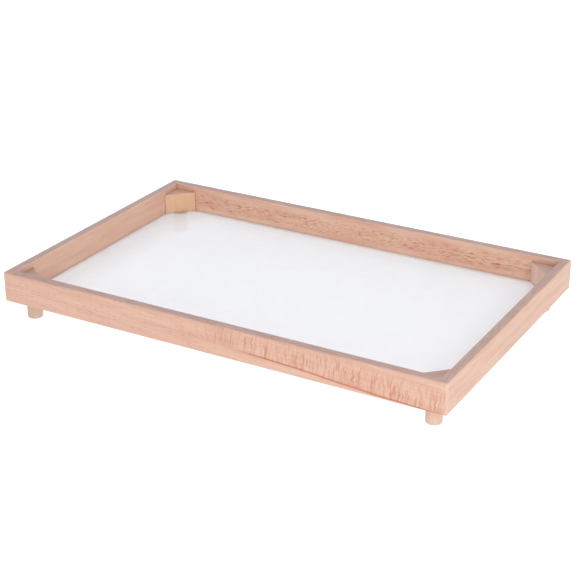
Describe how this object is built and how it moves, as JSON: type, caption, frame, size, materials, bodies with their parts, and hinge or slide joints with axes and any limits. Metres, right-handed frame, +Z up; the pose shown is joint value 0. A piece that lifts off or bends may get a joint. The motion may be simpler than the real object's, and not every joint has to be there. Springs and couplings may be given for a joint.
{
  "type": "stackable drying tray",
  "caption": "Shallow rectangular beech frame with a stretched net floor, on short round feet that stand on triangular corner blocks of the tray below.",
  "frame": {"origin": "middle of the tray, on the surface that its feet stand on", "axes": "+X along the long side to the right, +Y from the front rail to the back rail, +Z up"},
  "size_m": [0.61, 0.39, 0.066],
  "materials": {
    "rail_beech": "planed and sanded, unfinished",
    "block_beech": "sawn and sanded, unfinished",
    "foot_beech": "turned dowel, unfinished",
    "slip_beech": "sawn, unfinished",
    "net_mesh": "woven white polyester monofilament",
    "screw_zinc": "bright zinc plated",
    "staple_wire": "galvanised wire",
    "pin_wire": "bright steel wire"
  },
  "bodies": {
    "root": {"front_rail": "rail_beech", "back_rail": "rail_beech", "left_rail": "rail_beech", "right_rail": "rail_beech", "front_left_block": "block_beech", "front_right_block": "block_beech", "back_left_block": "block_beech", "back_right_block": "block_beech", "front_left_foot": "foot_beech", "front_right_foot": "foot_beech", "back_left_foot": "foot_beech", "back_right_foot": "foot_beech", "net": "net_mesh", "front_slip": "slip_beech", "back_slip": "slip_beech", "left_slip": "slip_beech", "right_slip": "slip_beech", "net_staples": "staple_wire", "mitre_pins": "pin_wire", "foot_screws": "screw_zinc"}
  },
  "joints": []
}
